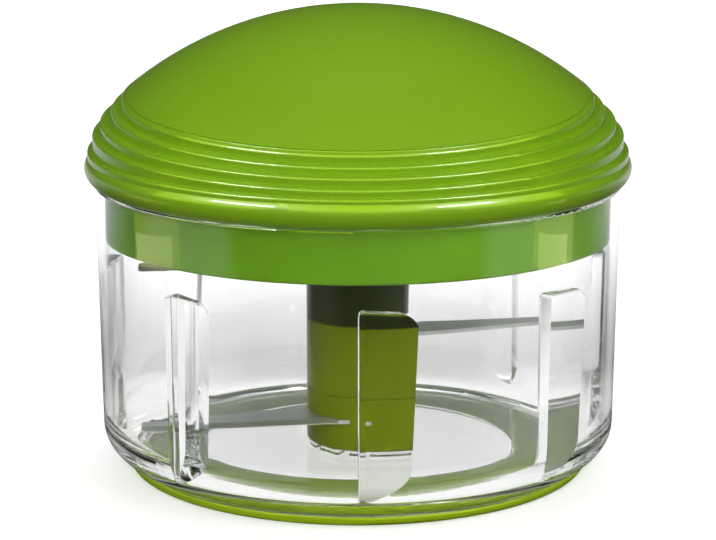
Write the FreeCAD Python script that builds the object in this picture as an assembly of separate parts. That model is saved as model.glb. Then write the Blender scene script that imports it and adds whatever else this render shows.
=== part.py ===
import FreeCAD, Part
import math
import os
from FreeCAD import Vector

# Pull-string food chopper: clear bowl, three-blade unit, domed lid with a cord drum and a pull handle.
# Millimetres, +Z up. The origin is the centre of the non-slip ring's underside, the front is -Y.

# Clearances
joint_gap = 0.05  # between pieces that are fixed together
running_gap = 0.3  # between pieces that move past each other
bearing_gap = 0.06  # radial, on the pivot pin and on the axle

# Bowl
rim_height = 69.3
rim_radius = 62.8
wall_draft = 1.0
wall_thickness = 1.9
rim_rounding = 0.6
outer_corner_height = 7.0
outer_corner_radius = 8.0
inner_corner_radius = 11.0
floor_top = 3.8
pad_radius = 37.9
pad_bottom = 0.6

# Ribs inside the bowl, steep on one side and ramped on the other
rib_count = 8
rib_drop = 18.6
rib_height = 3.0
rib_crest_width = 1.5
rib_ramp_width = 13.8
rib_rounding = 1.1
rib_root = 0.6  # how deep the ribs reach into the wall
rib_corner_radius = 6.0

# Boss ring under the blade unit, with drainage notches
boss_outer_radius = 11.9
boss_inner_radius = 9.4
boss_height = 0.7
boss_notch_count = 10
boss_notch_width = 1.8

# Non-slip ring
ring_inset = 5.9
ring_thickness = 1.6
ring_lip_height = 2.2
ring_lip_width = 2.2
ring_foot_inset = 0.6
ring_foot_rounding = 1.3

# Pivot pin
pin_radius = 3.0
pin_depth = 2.4
pin_top = 24.0

# Blade unit
hub_radius = 12.46
hub_lift = 0.3
hub_headroom = 3.0
hub_foot_top = 18.2
hub_middle_top = 35.6
hub_edge_rounding = 1.2
hub_seam_chamfer = 0.22
core_radius = 7.0
core_bore_top = 27.0
head_across_flats = 13.0
head_height = 9.3
head_lead_in = 1.6

# Blades; the angles are those of the lowest one, seen from above
blade_thickness = 0.9
blade_tip_gap = 2.1
blade_tip_skew = 1.3
blade_tip_front_angle = 201.8
blade_tip_rear_angle = 196.2
blade_root_front_angle = -62.2
blade_root_rear_angle = 177.6
blade_root_cover = 0.26
blade_eye_wall = 2.6
blade_bevel_width = 1.8
blade_edge_thickness = 0.2
blade_drops = {"blade_lower": 5.9, "blade_middle": 5.3, "blade_upper": 5.2}
blade_turns = {"blade_lower": 0.0, "blade_middle": 180.0, "blade_upper": 0.0}
window_width = 2.4
window_height = 1.3

# Lid: a tilted dome over a stack of rounded plates that fan out towards the handle at the back
roll_overhang = 2.45
roll_belly_rise = 3.8
roll_shoulder_rise = 6.3
roll_shoulder_inset = 1.05
roll_foot_inset = 2.15
roll_foot_gap = 0.3
plate_insets = (9.05, 6.65, 3.95, 2.05, 0.8)
plate_rises = (20.1, 18.0, 15.15, 12.2, 8.2)
plate_tilts = (5.1, 4.7, 3.6, 2.8, 0.8)
plate_rounding = 0.7
plate_sink = 3.0
dome_rise = 20.3
dome_groove_inset = 1.0
dome_groove_radius = 0.35
lid_wall = 2.4
crown_wall = 1.6
seat_width = 1.8

# Inner cover with the skirt that drops into the bowl
skirt_gap = 0.3
skirt_depth = 12.6
skirt_thickness = 1.8
skirt_flange_rise = 0.9
skirt_flange_thickness = 1.6
cover_plate_depth = 9.8
cover_plate_thickness = 1.8
cover_collar_drop = 1.2
cover_rib_count = 6
cover_rib_height = 2.4
cover_rib_thickness = 1.4

# Cover screws and the posts that they bite in
screw_count = 3
screw_first_angle = -90.0
screw_radius = 1.5
screw_head_radius = 3.0
screw_head_height = 1.3
screw_length = 12.0
post_radius = 3.8
post_offset = 0.5  # of the screws' circle from the inner wall of the handle's well

# Cord
cord_radius = 0.8
cord_seat_gap = 0.02
cord_pitch = 2.1
cord_turns = 4.15
cord_tail_bend = 2.4
pulled_turns = 3.0

# Drum
drum_core_radius = 14.0
drum_core_wall = 2.2
drum_hub_radius = 5.5
drum_flange_radius = 18.5
drum_flange_thickness = 1.7
drum_spoke_count = 4
drum_spoke_thickness = 1.6
cup_radius = 27.0
cup_wall = 1.8
cup_floor = 1.5
spring_cover_thickness = 1.0

# Flat spiral recoil spring
spring_turns = 8
spring_first_radius = 6.4
spring_last_radius = 23.6
spring_thickness = 0.45
spring_height = 5.8
spring_tab = 2.6
spring_slot_gap = 0.12

# Axle and the arbor post of the lid
axle_radius = 2.5
axle_seat_depth = 12.0
arbor_radius = 5.0
arbor_root_radius = 6.5
clip_thickness = 0.7
clip_radius = 4.6
clip_seat = 0.5
clip_notch_radius = 0.7
washer_radius = 5.0
washer_thickness = 0.5

# Drive socket
socket_lift = 1.1
socket_radius = 10.6
socket_flange_radius = 16.5
socket_flange_thickness = 1.4
socket_neck_radius = 9.4
socket_web_thickness = 1.4
socket_hex_gap = 0.2
key_count = 4
key_width = 2.4
key_height = 1.2
key_gap = 0.15

# Face ratchet between the drum and the clutch dog
ratchet_count = 12
ratchet_height = 1.0
ratchet_gap = 0.12
ratchet_inner_radius = 11.6
ratchet_outer_radius = 15.4
dog_thickness = 2.4
clutch_wire_radius = 0.35
clutch_coil_radius = 12.4
clutch_coils = 2.5

# Pull handle and the well that it docks in
handle_half_angle = 36.0
handle_flare_start = 6.0
handle_rise = 5.0
handle_depth = 11.05
handle_end_wall = 3.5
handle_floor_wall = 2.1
handle_outer_wall = 1.4
liner_thickness = 1.8
neck_half_width = 4.5
neck_half_height = 4.3
neck_rounding = 1.5
finger_gap = 14.5
well_wall = 2.0
well_corner_radius = 5.0
knot_radius = 1.55
cord_hole_gap = 0.3
eyelet_radius = 2.6
eyelet_flange_radius = 3.8
eyelet_flange_thickness = 1.0

# Values that follow from the driving sizes: bowl and ring
rim_inner_radius = rim_radius - wall_thickness
wall_foot_radius = rim_radius - wall_draft
wall_foot_inner_radius = wall_foot_radius - wall_thickness
wall_slope = wall_draft / (rim_height - outer_corner_height)
rib_top = rim_height - rib_drop
rib_crest_radius = wall_foot_inner_radius - rib_height
boss_top = floor_top + boss_height
ring_seat = ring_thickness + joint_gap
ring_lip_radius = wall_foot_radius - ring_inset
ring_lip_inner_radius = ring_lip_radius - ring_lip_width
ring_foot_radius = ring_lip_radius - ring_foot_inset
ring_inner_radius = pad_radius + running_gap

# Inner cover and blade unit
skirt_bottom = rim_height - skirt_depth
skirt_radius = rim_inner_radius - wall_slope * skirt_depth - skirt_gap
skirt_inner_radius = skirt_radius - skirt_thickness
seat_inner_radius = rim_radius - seat_width
skirt_flange_radius = seat_inner_radius - 4 * joint_gap
skirt_flange_bottom = rim_height + skirt_flange_rise
flange_top = skirt_flange_bottom + skirt_flange_thickness
pocket_top = flange_top + 2 * joint_gap
cover_plate_bottom = rim_height - cover_plate_depth
cover_plate_top = cover_plate_bottom + cover_plate_thickness
hub_bottom = boss_top + hub_lift
hub_top_height = cover_plate_bottom - hub_headroom
head_top = hub_top_height + head_height
blade_tip_radius = rib_crest_radius - blade_tip_gap
blade_eye_radius = core_radius + blade_eye_wall

# Stack on the axle, from below
axle_foot = head_top + running_gap
clip_bottom = axle_foot + clip_seat
washer_bottom = clip_bottom + clip_thickness
web_bottom = washer_bottom + washer_thickness + joint_gap
web_top = web_bottom + socket_web_thickness
drum_hub_bottom = web_top + washer_thickness + 2 * joint_gap
drum_bottom = web_top + ratchet_height - joint_gap
groove_bottom = drum_bottom + drum_flange_thickness
cord_height = groove_bottom + cord_tail_bend + cord_turns * cord_pitch
groove_top = cord_height + 2 * cord_radius
cup_floor_top = groove_top + cup_floor
spring_bottom = cup_floor_top + running_gap
spring_top = spring_bottom + spring_height
cup_top = spring_top + running_gap
spring_cover_top = cup_top + spring_cover_thickness
socket_bottom = hub_top_height + socket_lift
socket_flange_bottom = cover_plate_top + running_gap
socket_flange_top = socket_flange_bottom + socket_flange_thickness
dog_top = drum_bottom - ratchet_height
dog_bottom = dog_top - dog_thickness
cord_line_radius = drum_core_radius + cord_seat_gap + cord_radius
pull_length = pulled_turns * 2 * math.pi * cord_line_radius

# Lid, handle and well
seat_height = rim_height + joint_gap
roll_radius = rim_radius + roll_overhang
roll_belly = rim_height + roll_belly_rise
roll_shoulder = rim_height + roll_shoulder_rise
roll_foot_radius = roll_radius - roll_foot_inset
plate_radii = [roll_radius - inset for inset in plate_insets]
plate_tops = [rim_height + rise for rise in plate_rises]
plate_fronts = [t - r * math.sin(math.radians(a)) for t, r, a in zip(plate_tops, plate_radii, plate_tilts)]
dome_foot = plate_tops[0]
dome_radius = (plate_radii[0] ** 2 + dome_rise**2) / (2 * dome_rise)
dome_centre = dome_foot + dome_rise - dome_radius
dome_top = dome_foot + dome_rise
handle_bottom = rim_height + handle_rise
grip_inner_radius = roll_radius - handle_depth
chamber_bottom = handle_bottom + handle_floor_wall
chamber_step = plate_tops[2] + handle_outer_wall
chamber_top = cord_height + neck_half_height + running_gap
chamber_lower_radius = plate_radii[2] - handle_outer_wall
chamber_upper_radius = plate_radii[1] - handle_outer_wall
liner_inner_radius = grip_inner_radius + running_gap
liner_outer_radius = liner_inner_radius + liner_thickness
knot_seat = liner_outer_radius + joint_gap
well_inner_radius = grip_inner_radius - finger_gap
well_floor = handle_bottom - running_gap
screw_circle_radius = well_inner_radius + post_offset
eyelet_seat = well_inner_radius - well_wall
eyelet_mouth = eyelet_seat - eyelet_flange_thickness - cord_radius


# Points, wires and solids


def space(r, z):
    return Vector(r, 0, z)


def plan(x, y):
    return Vector(x, y, 0)


def rounded_wire(corners, place):
    # corners are (u, v) or (u, v, radius); place puts a flat point in space
    flat = [Vector(c[0], c[1], 0) for c in corners]
    radii = [c[2] if len(c) > 2 else 0.0 for c in corners]
    count = len(flat)
    starts, middles, ends = [], [], []
    for i in range(count):
        point, radius = flat[i], radii[i]
        before = (flat[i - 1] - point).normalize()
        after = (flat[(i + 1) % count] - point).normalize()
        half = before.getAngle(after) / 2
        back = radius / math.tan(half)
        bisector = before + after
        starts.append(point + before * back)
        ends.append(point + after * back)
        if radius > 0:
            middles.append(point + bisector.normalize() * (radius / math.sin(half) - radius))
        else:
            middles.append(point)
    edges = []
    for i in range(count):
        a, b = ends[i - 1], starts[i]
        if a.distanceToPoint(b) > 1e-6:
            edges.append(Part.LineSegment(place(a.x, a.y), place(b.x, b.y)).toShape())
        if radii[i] > 0:
            through = [place(p.x, p.y) for p in (starts[i], middles[i], ends[i])]
            edges.append(Part.Arc(*through).toShape())
    return Part.Wire(edges)


def turned(corners):
    face = Part.Face(rounded_wire(corners, space))
    return face.revolve(Vector(0, 0, 0), Vector(0, 0, 1), 360)


def extruded(corners, low, high):
    face = Part.Face(rounded_wire(corners, plan))
    solid = face.extrude(Vector(0, 0, high - low))
    solid.translate(Vector(0, 0, low))
    return solid


def disc(radius, low, high):
    return Part.makeCylinder(radius, high - low, Vector(0, 0, low))


def tube(outer, inner, low, high):
    return disc(outer, low, high).cut(disc(inner, low, high))


def block(x0, x1, y0, y1, z0, z1):
    return Part.makeBox(x1 - x0, y1 - y0, z1 - z0, Vector(x0, y0, z0))


def turned_by(shape, angle):
    copy = shape.copy()
    copy.rotate(Vector(0, 0, 0), Vector(0, 0, 1), angle)
    return copy


def around(shape, count, first=0.0):
    return [turned_by(shape, first + 360.0 * i / count) for i in range(count)]


def tilted(shape, angle, height):
    copy = shape.copy()
    copy.rotate(Vector(0, 0, height), Vector(1, 0, 0), angle)
    return copy


def hexagon(across_flats, low, high):
    corner = across_flats / math.sqrt(3)
    points = [(corner * math.cos(k * math.pi / 3), corner * math.sin(k * math.pi / 3)) for k in range(6)]
    return extruded(points, low, high)


def polar(radius, degrees):
    return (radius * math.cos(math.radians(degrees)), radius * math.sin(math.radians(degrees)))


def biarc(start, start_way, end, end_way):
    # Two arcs from start to end that leave and arrive along the given unit directions
    chord = end - start
    ways = start_way + end_way
    spread = 2 * (1 - start_way.dot(end_way))
    if spread < 1e-9:
        reach = chord.dot(chord) / (4 * chord.dot(end_way))
    else:
        along = chord.dot(ways)
        reach = (math.sqrt(along**2 + spread * chord.dot(chord)) - along) / spread
    first = start + start_way * reach
    second = end - end_way * reach
    joint = (first + second) * 0.5
    return [arc_from(start, first, joint), arc_from(joint, second, end)]


def arc_from(start, corner, end):
    # The arc that touches start-corner at start and corner-end at end
    middle = (start + end) * 0.5
    rise = corner - middle
    half_chord = start.distanceToPoint(middle)
    if rise.Length < 1e-7 * half_chord:
        return Part.LineSegment(start, end).toShape()
    bulge = half_chord * math.tan(math.atan2(rise.Length, half_chord) / 2)
    return Part.Arc(start, middle + rise.normalize() * bulge, end).toShape()


def helix_edges(radius, pitch, first_angle, last_angle, low):
    # Biarcs of a quarter turn each; angles in degrees, rising anticlockwise
    def point(angle):
        x, y = polar(radius, angle)
        return Vector(x, y, low + pitch * (angle - first_angle) / 360.0)

    def way(angle):
        x, y = polar(radius, angle + 90)
        return Vector(x, y, pitch / (2 * math.pi)).normalize()

    steps = max(1, math.ceil((last_angle - first_angle) / 90.0 - 1e-9))
    angles = [first_angle + (last_angle - first_angle) * i / steps for i in range(steps + 1)]
    edges = []
    for a, b in zip(angles, angles[1:]):
        edges += biarc(point(a), way(a), point(b), way(b))
    return edges, point, way


def wire_solid(edges, radius):
    path = Part.Wire(edges)
    start = path.OrderedVertexes[0].Point
    way = path.OrderedEdges[0].tangentAt(path.OrderedEdges[0].FirstParameter)
    section = Part.Wire(Part.makeCircle(radius, start, way))
    shell = path.makePipeShell([section], True, False)
    expected = math.pi * radius**2 * path.Length
    print("tube %.2f mm long, volume %.4f of the expected" % (path.Length, shell.Volume / expected))
    return shell


def least_self_gap(edges, radius, skip):
    # Smallest gap between stretches of the path that lie at least skip apart along it
    path = Part.Wire(edges)
    points = path.discretize(Distance=0.6)
    least = 1e9
    apart = int(skip / 0.6)
    for i in range(0, len(points), 2):
        for j in range(i + apart, len(points), 2):
            least = min(least, points[i].distanceToPoint(points[j]))
    return least - 2 * radius


def write(node, shape):
    solids = shape.Solids
    assert shape.isValid() and solids, node
    result = solids[0] if len(solids) == 1 else Part.makeCompound(solids)
    result.exportStep("parts/%s.step" % node)
    print("%-16s solids %d volume %.1f" % (node, len(solids), result.Volume))


# Bowl body


def make_bowl():
    inner_foot = wall_foot_inner_radius - wall_slope * (outer_corner_height - floor_top)
    body = turned(
        [
            (0, pad_bottom),
            (pad_radius, pad_bottom, 0.3),
            (pad_radius, ring_seat),
            (ring_lip_inner_radius - joint_gap, ring_seat),
            (ring_lip_inner_radius - joint_gap, ring_lip_height + joint_gap),
            (ring_lip_radius - 2 * joint_gap, ring_lip_height + joint_gap),
            (wall_foot_radius, outer_corner_height, outer_corner_radius),
            (rim_radius, rim_height, rim_rounding),
            (rim_inner_radius, rim_height, rim_rounding),
            (inner_foot, floor_top, inner_corner_radius),
            (0, floor_top),
        ]
    )
    # The ribs stand in the bowl's hollow and reach a little into its wall and floor
    room = turned(
        [
            (0, floor_top - rib_root),
            (inner_foot + rib_root, floor_top - rib_root, inner_corner_radius + rib_root),
            (rim_inner_radius + rib_root, rim_height),
            (0, rim_height),
        ]
    )
    rib = make_bowl_rib().common(room)
    boss = tube(boss_outer_radius, boss_inner_radius, floor_top - 0.5, boss_top)
    half = boss_notch_width / 2
    notch = block(0, boss_outer_radius + 1, -half, half, floor_top, boss_top + 1)
    boss = boss.cut(Part.makeCompound(around(notch, boss_notch_count)))
    body = body.fuse([boss] + around(rib, rib_count, -90.0)).removeSplitter()
    return body.cut(disc(pin_radius, floor_top - pin_depth, floor_top + 1))


def make_bowl_rib():
    # Steep face at angle 0, ramp towards positive angles; the back is cut off by the wall
    root = wall_foot_inner_radius + wall_thickness / 2
    crest_angle = math.degrees(rib_crest_width / rib_crest_radius)
    ramp_angle = math.degrees(rib_ramp_width / wall_foot_inner_radius)
    corners = [
        polar(root, 0.0),
        polar(root / math.cos(math.radians(ramp_angle / 2)), ramp_angle / 2),
        polar(root, ramp_angle),
        polar(rib_crest_radius, crest_angle) + (1.5,),
        polar(rib_crest_radius, 0.0) + (0.4,),
    ]
    prism = extruded(corners, floor_top - rib_root, rib_top)
    top_edges = [
        e
        for e in prism.Edges
        if min(v.Point.z for v in e.Vertexes) > rib_top - 0.01
        and max(math.hypot(v.Point.x, v.Point.y) for v in e.Vertexes) < wall_foot_inner_radius + 0.5
    ]
    rib = prism.makeFillet(rib_rounding, top_edges)
    # The upper corner at the end of the ramp is rounded off
    size = rib_corner_radius
    corner = block(0, root + 1, -size, 1, rib_top - size, rib_top + 1)
    rounded = Part.makeCylinder(size, root + 1, Vector(0, -size, rib_top - size), Vector(1, 0, 0))
    return rib.cut(turned_by(corner.cut(rounded), ramp_angle))


def make_base_ring():
    return turned(
        [
            (ring_inner_radius, 0, 0.3),
            (ring_foot_radius, 0, ring_foot_rounding),
            (ring_lip_radius, ring_lip_height, 0.4),
            (ring_lip_inner_radius, ring_lip_height),
            (ring_lip_inner_radius, ring_thickness),
            (ring_inner_radius, ring_thickness, 0.3),
        ]
    )


def make_pivot_pin():
    low = floor_top - pin_depth
    return turned([(0, low), (pin_radius, low), (pin_radius, pin_top, 1.4), (0, pin_top)])


# Blade unit


def make_blade(node, height):
    tip_front = polar(blade_tip_radius, blade_tip_front_angle)
    tip_rear = polar(blade_tip_radius - blade_tip_skew, blade_tip_rear_angle)
    root_front = polar(hub_radius - blade_root_cover, blade_root_front_angle)
    root_rear = polar(blade_eye_radius, blade_root_rear_angle)
    low = -blade_thickness / 2
    outline = [tip_front + (0.8,), tip_rear + (1.2,), root_rear, (0, 0), root_front + (0.3,)]
    blade = extruded(outline, low, -low)
    blade = blade.fuse(disc(blade_eye_radius, low, -low)).removeSplitter()
    # The bevel is ground on the top, from beyond the tip to just short of the hub
    tip = Vector(*tip_front, 0)
    way = (Vector(*root_front, 0) - tip).normalize()
    inward = Vector(-way.y, way.x, 0)
    reach = tip.distanceToPoint(Vector(0, -hub_radius, 0)) - 1.0
    start = tip - way * 4
    edge_top = low + blade_edge_thickness
    section = [(-3, edge_top), (0, edge_top), (blade_bevel_width, -low), (blade_bevel_width, 2), (-3, 2)]
    points = [start + inward * u + Vector(0, 0, z) for u, z in section]
    bevel = Part.Face(Part.makePolygon(points + points[:1])).extrude(way * reach)
    blade = blade.cut(bevel).cut(disc(core_radius + joint_gap, low - 1, 1 - low))
    blade = turned_by(blade, blade_turns[node])
    blade.translate(Vector(0, 0, height))
    return blade


def make_hub_section(low, high, blade, node, height):
    foot = low == hub_bottom
    seam = hub_seam_chamfer
    corners = [
        (core_radius + joint_gap, low),
        (hub_radius, low, hub_edge_rounding) if foot else (hub_radius - seam, low),
    ]
    if not foot:
        corners.append((hub_radius, low + seam))
    corners += [(hub_radius, high - seam), (hub_radius - seam, high), (core_radius + joint_gap, high)]
    sleeve = turned(corners)
    # A small window shows the edge of the moulded-in blade
    x, y = polar(hub_radius - blade_root_cover, blade_root_front_angle)
    half = window_height / 2
    window = block(x - window_width, x - 0.1, -hub_radius - 1, y - 0.6, -half, half)
    window = turned_by(window, blade_turns[node])
    window.translate(Vector(0, 0, height))
    return sleeve.cut(blade).cut(window)


def make_spindle_core():
    stem = disc(core_radius, hub_bottom + 0.2, hub_top_height)
    lead = turned(
        [
            (0, hub_top_height),
            (head_across_flats, hub_top_height),
            (head_across_flats, head_top - head_lead_in * 2),
            (head_across_flats / 2 - head_lead_in, head_top),
            (0, head_top),
        ]
    )
    head = hexagon(head_across_flats, hub_top_height, head_top).common(lead)
    bore = turned(
        [
            (0, hub_bottom - 1),
            (pin_radius + bearing_gap, hub_bottom - 1),
            (pin_radius + bearing_gap, core_bore_top - 1.5),
            (0, core_bore_top),
        ]
    )
    return stem.fuse(head).cut(bore)


# Lid body


def rounded_plate(radius, top, low):
    return turned([(0, low), (radius, low), (radius, top, plate_rounding), (0, top)])


def dome_cap(radius, low):
    ball = Part.makeSphere(radius, Vector(0, 0, dome_centre))
    return ball.common(disc(radius, low, dome_centre + radius + 1))


def belly_corner(rise, inset):
    # The corner and radius of an arc that leaves the roll's belly upright and ends at rise and inset
    radius = (rise**2 + inset**2) / (2 * inset)
    reach = radius * math.tan(math.asin(abs(rise) / radius) / 2)
    return (roll_radius, roll_belly + math.copysign(reach, rise), radius)


def make_outer_form():
    # The full outside of the lid, before it is hollowed and the handle is parted from it
    foot_height = rim_height + roll_foot_gap
    shoulder_radius = roll_radius - roll_shoulder_inset
    form = turned(
        [
            (0, seat_height),
            (rim_radius - rim_rounding, seat_height),
            (roll_foot_radius, foot_height),
            belly_corner(foot_height - roll_belly, roll_foot_inset),
            belly_corner(roll_shoulder - roll_belly, roll_shoulder_inset),
            (shoulder_radius, roll_shoulder),
            (0, roll_shoulder),
        ]
    )
    # Each plate is sunk into the one below it, and the last into the roll
    lows = [top - plate_sink for top in plate_tops[1:]] + [roll_shoulder - plate_sink / 2]
    for k in range(1, len(plate_radii)):
        plate = rounded_plate(plate_radii[k], plate_tops[k], lows[k])
        form = form.fuse(tilted(plate, plate_tilts[k], plate_tops[k]))
    dome = dome_cap(dome_radius, lows[0])
    dome = dome.common(disc(plate_radii[0], lows[0], dome_top + 1))
    edge = [
        e
        for e in dome.Edges
        if abs(e.BoundBox.ZMax - dome_foot) < 0.01 and e.BoundBox.XLength > plate_radii[0]
    ]
    dome = dome.makeFillet(plate_rounding, edge)
    groove_line = plate_radii[0] - dome_groove_inset
    groove_height = dome_centre + math.sqrt(dome_radius**2 - groove_line**2)
    dome = dome.cut(Part.makeTorus(groove_line, dome_groove_radius, Vector(0, 0, groove_height)))
    return form.fuse(tilted(dome, plate_tilts[0], dome_foot)).removeSplitter()


def make_inner_form():
    # The hollow inside the lid
    belly_inner_radius = roll_radius - lid_wall - 0.2
    corners = [
        (0, rim_height - 1),
        (seat_inner_radius, rim_height - 1),
        (seat_inner_radius, pocket_top),
        (belly_inner_radius, flange_top + 1.4, 1.0),
        (belly_inner_radius, plate_fronts[4] - crown_wall),
    ]
    corners += [(plate_radii[k] - lid_wall, plate_fronts[k] - crown_wall) for k in (3, 2, 1)]
    corners.append((0, plate_fronts[1] - crown_wall))
    ceiling = dome_cap(dome_radius - lid_wall, roll_shoulder)
    ceiling = ceiling.common(disc(plate_radii[0] - lid_wall, roll_shoulder, dome_top))
    return turned(corners).fuse(tilted(ceiling, plate_tilts[0], dome_foot))


def sector(inner, outer, inset, low, high):
    # A ring cut at both ends by the planes of the handle's flared ends, moved inwards by inset
    angle = math.radians(handle_half_angle)
    start = handle_flare_start + inset / math.sin(angle)
    reach = 2 * outer
    side = (reach * math.sin(angle), start + reach * math.cos(angle))
    wedge = extruded([(0, start), side, (-side[0], side[1])], low, high)
    return wedge.common(tube(outer, inner, low, high))


def well_tool(grow, low):
    # The crescent well that the handle docks in; grow gives the space with its walls
    inner = well_inner_radius - grow
    tool = sector(inner, roll_radius + 10, -running_gap - grow, low, dome_top + 10)
    edges = [
        e
        for e in tool.Edges
        if e.BoundBox.ZLength > 1 and abs(math.hypot(*e.Vertexes[0].Point[:2]) - inner) < 0.001
    ]
    return tool.makeFillet(well_corner_radius, edges)


def screw_places():
    angles = [screw_first_angle + 360.0 * i / screw_count for i in range(screw_count)]
    return [polar(screw_circle_radius, angle) for angle in angles]


def make_lid_shell(outer, hollow):
    well = well_tool(0.0, well_floor)
    cavity = hollow.cut(well_tool(well_wall, pocket_top))
    arbor_bottom = cup_floor_top + running_gap
    posts = []
    for x, y in screw_places():
        post = disc(post_radius, cover_plate_top, dome_top)
        post.translate(Vector(x, y, 0))
        posts.append(post)
    arbor = turned(
        [
            (0, arbor_bottom),
            (arbor_radius, arbor_bottom),
            (arbor_radius, spring_cover_top + running_gap),
            (arbor_root_radius, spring_cover_top + running_gap),
            (arbor_root_radius, dome_top),
            (0, dome_top),
        ]
    )
    solid_parts = [p.common(hollow) for p in posts + [arbor]]
    low_posts = []
    for x, y in screw_places():
        stub = disc(post_radius, cover_plate_top, rim_height + 1)
        stub.translate(Vector(x, y, 0))
        low_posts.append(stub)
    shell = outer.cut(cavity).cut(well).fuse(solid_parts + low_posts)
    holes = []
    for x, y in screw_places():
        hole = disc(screw_radius, cover_plate_top - 1, cover_plate_bottom + screw_length + 1)
        hole.translate(Vector(x, y, 0))
        holes.append(hole)
    axle_hole = disc(axle_radius, arbor_bottom - 1, spring_cover_top + axle_seat_depth)
    slot = block(
        -arbor_radius - 1,
        -axle_radius - running_gap,
        -spring_thickness / 2 - spring_slot_gap,
        spring_thickness / 2 + spring_slot_gap,
        arbor_bottom - 1,
        spring_top + running_gap,
    )
    eye_start = Vector(0, eyelet_seat - well_wall, cord_height)
    eye = Part.makeCylinder(eyelet_radius, 3 * well_wall, eye_start, Vector(0, 1, 0))
    return shell.cut(Part.makeCompound(holes)).cut(axle_hole).cut(slot).cut(eye)


def make_inner_cover():
    bore = socket_radius + running_gap
    collar = bore + cover_plate_thickness
    collar_bottom = cover_plate_bottom - cover_collar_drop
    cup = turned(
        [
            (bore, collar_bottom, 0.4),
            (collar, collar_bottom, 0.4),
            (collar, cover_plate_bottom),
            (skirt_inner_radius, cover_plate_bottom, 1.0),
            (skirt_inner_radius, skirt_bottom, 0.5),
            (skirt_radius, skirt_bottom, 0.6),
            (skirt_radius, skirt_flange_bottom),
            (skirt_flange_radius, skirt_flange_bottom),
            (skirt_flange_radius, flange_top),
            (skirt_inner_radius, flange_top),
            (skirt_inner_radius, cover_plate_top, 1.0),
            (bore, cover_plate_top, 0.3),
        ]
    )
    rib = block(
        socket_flange_radius + 2,
        skirt_inner_radius + 0.5,
        -cover_rib_thickness / 2,
        cover_rib_thickness / 2,
        cover_plate_top - 0.5,
        cover_plate_top + cover_rib_height,
    )
    cup = cup.fuse(around(rib, cover_rib_count, screw_first_angle + 30.0))
    for x, y in screw_places():
        hole = disc(screw_radius + 0.25, cover_plate_bottom - 1, cover_plate_top + 1)
        recess = disc(screw_head_radius + 0.25, cover_plate_bottom - 1, cover_plate_bottom + 0.6)
        for tool in (hole, recess):
            tool.translate(Vector(x, y, 0))
            cup = cup.cut(tool)
    return cup


def make_cover_screws():
    screws = []
    seat = cover_plate_bottom + 0.6 - joint_gap
    for x, y in screw_places():
        screw = turned(
            [
                (0, seat - screw_head_height),
                (screw_head_radius, seat - screw_head_height, 0.5),
                (screw_head_radius, seat),
                (screw_radius - joint_gap, seat),
                (screw_radius - joint_gap, seat + screw_length - 1.5),
                (0.3, seat + screw_length),
                (0, seat + screw_length),
            ]
        )
        for turn in (0, 90):
            bar = block(-1.7, 1.7, -0.35, 0.35, seat - screw_head_height - 1, seat - screw_head_height + 0.6)
            screw = screw.cut(turned_by(bar, turn))
        screw.translate(Vector(x, y, 0))
        screws.append(screw)
    return Part.makeCompound(screws)


def make_axle():
    top = spring_cover_top + axle_seat_depth - joint_gap
    rod = turned([(0, axle_foot), (axle_radius, axle_foot, 0.4), (axle_radius, top, 0.4), (0, top)])
    groove = tube(axle_radius + 1, axle_radius - 0.6, clip_bottom, washer_bottom)
    return rod.cut(groove)


def make_axle_clip():
    low = clip_bottom + joint_gap / 2
    high = washer_bottom - joint_gap / 2
    ring = tube(clip_radius, axle_radius - 0.55, low, high)
    mouth = block(0, clip_radius + 1, -1.6, 1.6, low - 1, high + 1)
    notch = disc(clip_notch_radius, low - 1, high + 1)
    notch.translate(Vector(-axle_radius - running_gap, 0, 0))
    return ring.cut(mouth).cut(notch)


def make_axle_washer():
    return tube(washer_radius, axle_radius + bearing_gap, washer_bottom, washer_bottom + washer_thickness)


def make_cord_eyelet():
    inner = cord_radius + 1.5 * cord_hole_gap
    length = well_wall + running_gap
    # Turned about Z, then laid along +Y at the height of the cord
    bush = turned(
        [
            (inner, length, 0.2),
            (inner, -eyelet_flange_thickness, 0.8),
            (eyelet_flange_radius, -eyelet_flange_thickness, 0.3),
            (eyelet_flange_radius, 0),
            (eyelet_radius - joint_gap, 0),
            (eyelet_radius - joint_gap, length),
        ]
    )
    bush.rotate(Vector(0, 0, 0), Vector(1, 0, 0), -90)
    bush.translate(Vector(0, eyelet_seat - running_gap, cord_height))
    return bush


def make_recoil_spring():
    # Half-turn arcs on alternate centres, offset by half the strip's thickness each way
    pitch = (spring_last_radius - spring_first_radius) / spring_turns
    half = spring_thickness / 2
    first, second = [], []
    for i in range(2 * spring_turns):
        radius = spring_first_radius + pitch * (i + 0.5) / 2
        centre = -pitch / 2 if i % 2 else 0.0
        side = 1 if i % 2 else -1
        for store, offset in ((first, -half), (second, half)):
            r = radius + offset
            points = [Vector(centre + side * r * c, side * r * s, 0) for c, s in ((1, 0), (0, 1), (-1, 0))]
            store.append(Part.Arc(*points).toShape())
    start_in = first[0].Vertexes[0].Point
    start_out = second[0].Vertexes[0].Point
    end_in = first[-1].Vertexes[-1].Point
    end_out = second[-1].Vertexes[-1].Point
    close = [
        Part.LineSegment(start_in, start_out).toShape(),
        Part.LineSegment(end_in, end_out).toShape(),
    ]
    strip = Part.Face(Part.Wire(Part.__sortEdges__(first + second + close)))
    solid = strip.extrude(Vector(0, 0, spring_height))
    inner_tab = block(start_out.x, start_in.x + spring_tab, -half, half, 0, spring_height)
    tab_end = -cup_radius + running_gap
    outer_tab = block(tab_end, end_in.x, -half, half, 0, spring_height)
    solid = solid.fuse([inner_tab, outer_tab]).removeSplitter()
    solid.translate(Vector(0, 0, spring_bottom))
    return solid, tab_end


# Drum body


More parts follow.
